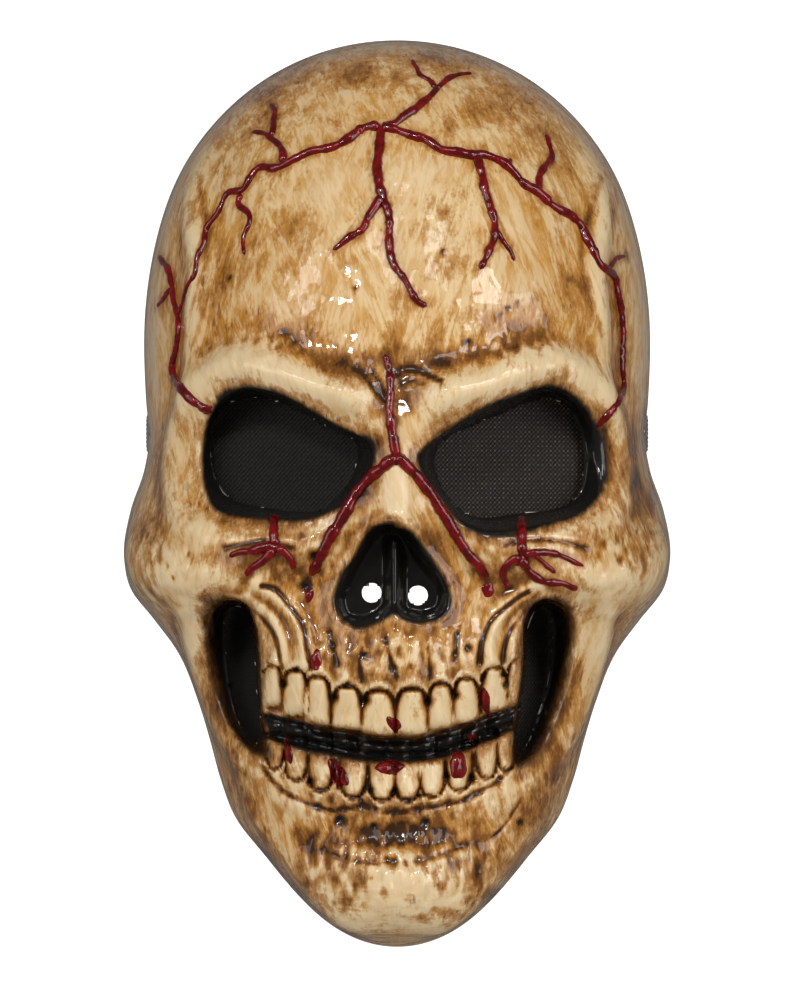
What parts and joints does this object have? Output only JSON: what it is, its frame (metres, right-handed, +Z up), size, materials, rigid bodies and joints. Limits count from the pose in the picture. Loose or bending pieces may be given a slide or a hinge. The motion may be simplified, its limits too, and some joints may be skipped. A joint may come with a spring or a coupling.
{
  "type": "skull face mask",
  "caption": "Adult's hollow moulded skull face mask with mesh-backed eye and side openings and an elastic head strap.",
  "frame": {"origin": "in the plane of the shell's side rims, on the middle line, level with the strap, where the wearer's head comes in", "axes": "+Z up when worn, the face looks along -Y, +X to the right as seen from the front"},
  "size_m": [0.1698, 0.2226, 0.2767],
  "materials": {
    "bone_plastic": "glossy clear-coated bone paint with brown wash",
    "black_mesh": "matt fine black mesh",
    "black_elastic": "matt woven elastic",
    "rivet_steel": "plain steel"
  },
  "bodies": {
    "root": {"mask_shell": "bone_plastic", "eye_mesh_left": "black_mesh", "eye_mesh_right": "black_mesh", "side_mesh_left": "black_mesh", "side_mesh_right": "black_mesh", "head_strap": "black_elastic", "strap_rivet_left": "rivet_steel", "strap_rivet_right": "rivet_steel"}
  },
  "joints": []
}
